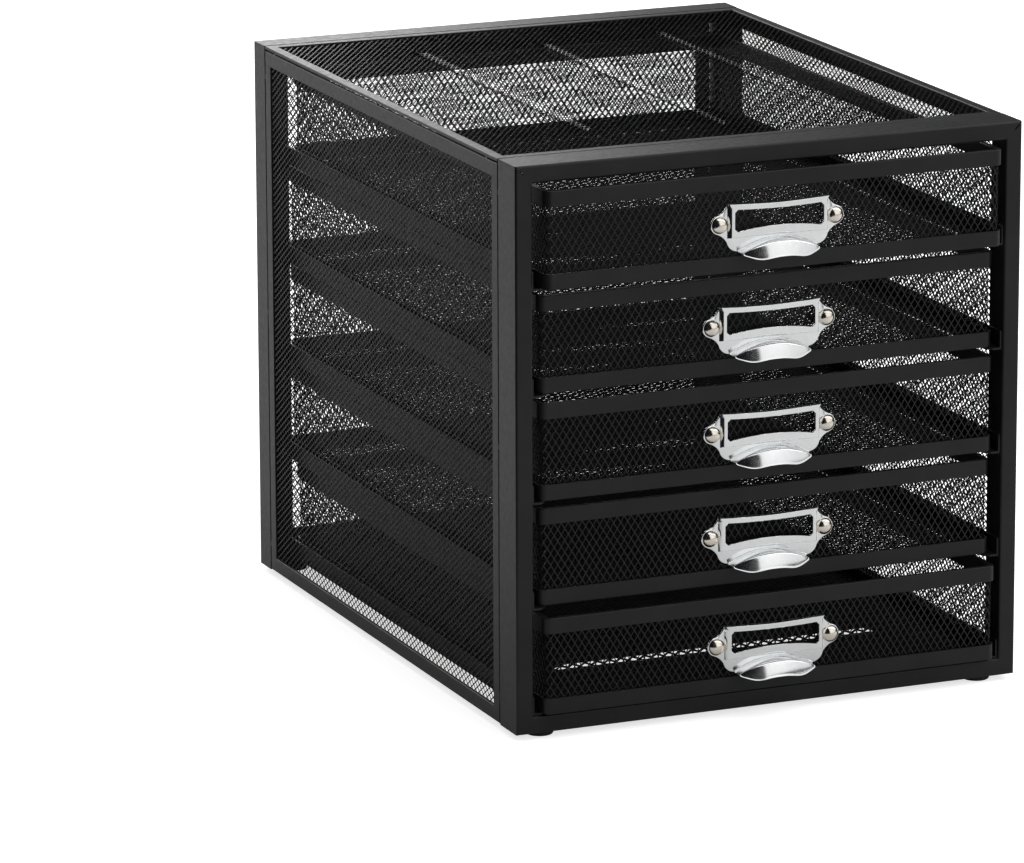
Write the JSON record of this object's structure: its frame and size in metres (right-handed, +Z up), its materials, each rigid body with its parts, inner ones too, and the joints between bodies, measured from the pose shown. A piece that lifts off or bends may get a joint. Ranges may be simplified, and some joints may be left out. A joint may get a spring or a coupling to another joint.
{
  "type": "desk drawer unit",
  "caption": "Desk drawer unit: a black steel cabinet of folded frames and expanded metal panels with a stack of sliding mesh drawers, each with a bright label pull.",
  "frame": {"origin": "on the table under the middle of the whole box, from the furthest cup to the back", "axes": "+X to the right when facing the drawers, -Y towards the person, +Z up"},
  "size_m": [0.275, 0.3716, 0.29],
  "materials": {
    "black_steel": "satin black powder coat with a fine orange peel",
    "black_mesh": "satin black powder coat on expanded metal",
    "pull_chrome": "bright nickel-chrome plate on a stamped steel sheet",
    "rivet_nickel": "bright nickel-plated rivet, a little warmer than the pull",
    "foot_rubber": "matt black rubber"
  },
  "bodies": {
    "cabinet": {"front_frame_left_post": "black_steel", "front_frame_right_post": "black_steel", "front_frame_top_rail": "black_steel", "front_frame_bottom_rail": "black_steel", "rear_frame_left_post": "black_steel", "rear_frame_right_post": "black_steel", "rear_frame_top_rail": "black_steel", "rear_frame_bottom_rail": "black_steel", "left_panel_edging": "black_steel", "left_panel_mesh": "black_mesh", "right_panel_edging": "black_steel", "right_panel_mesh": "black_mesh", "top_panel_edging": "black_steel", "top_panel_mesh": "black_mesh", "rear_panel_edging": "black_steel", "rear_panel_mesh": "black_mesh", "weld_tabs": "black_steel", "left_runner_1": "black_steel", "right_runner_1": "black_steel", "left_runner_2": "black_steel", "right_runner_2": "black_steel", "left_runner_3": "black_steel", "right_runner_3": "black_steel", "left_runner_4": "black_steel", "right_runner_4": "black_steel", "left_runner_5": "black_steel", "right_runner_5": "black_steel", "feet": "foot_rubber"},
    "drawer_1": {"drawer_1_wall_mesh": "black_mesh", "drawer_1_floor_mesh": "black_mesh", "drawer_1_top_rim": "black_steel", "drawer_1_bottom_rim": "black_steel", "drawer_1_label_pull": "pull_chrome", "drawer_1_pull_rivets": "rivet_nickel"},
    "drawer_2": {"drawer_2_wall_mesh": "black_mesh", "drawer_2_floor_mesh": "black_mesh", "drawer_2_top_rim": "black_steel", "drawer_2_bottom_rim": "black_steel", "drawer_2_label_pull": "pull_chrome", "drawer_2_pull_rivets": "rivet_nickel"},
    "drawer_3": {"drawer_3_wall_mesh": "black_mesh", "drawer_3_floor_mesh": "black_mesh", "drawer_3_top_rim": "black_steel", "drawer_3_bottom_rim": "black_steel", "drawer_3_label_pull": "pull_chrome", "drawer_3_pull_rivets": "rivet_nickel"},
    "drawer_4": {"drawer_4_wall_mesh": "black_mesh", "drawer_4_floor_mesh": "black_mesh", "drawer_4_top_rim": "black_steel", "drawer_4_bottom_rim": "black_steel", "drawer_4_label_pull": "pull_chrome", "drawer_4_pull_rivets": "rivet_nickel"},
    "drawer_5": {"drawer_5_wall_mesh": "black_mesh", "drawer_5_floor_mesh": "black_mesh", "drawer_5_top_rim": "black_steel", "drawer_5_bottom_rim": "black_steel", "drawer_5_label_pull": "pull_chrome", "drawer_5_pull_rivets": "rivet_nickel"}
  },
  "joints": [
    {"name": "drawer_1_slide", "type": "slide", "parent": "cabinet", "child": "drawer_1", "axis": [0, -1, 0], "range_m": [-0.0175, 0.28]},
    {"name": "drawer_2_slide", "type": "slide", "parent": "cabinet", "child": "drawer_2", "axis": [0, -1, 0], "range_m": [-0.0085, 0.28]},
    {"name": "drawer_3_slide", "type": "slide", "parent": "cabinet", "child": "drawer_3", "axis": [0, -1, 0], "range_m": [-0.01, 0.28]},
    {"name": "drawer_4_slide", "type": "slide", "parent": "cabinet", "child": "drawer_4", "axis": [0, -1, 0], "range_m": [-0.008, 0.28]},
    {"name": "drawer_5_slide", "type": "slide", "parent": "cabinet", "child": "drawer_5", "axis": [0, -1, 0], "range_m": [-0.016, 0.28]}
  ]
}
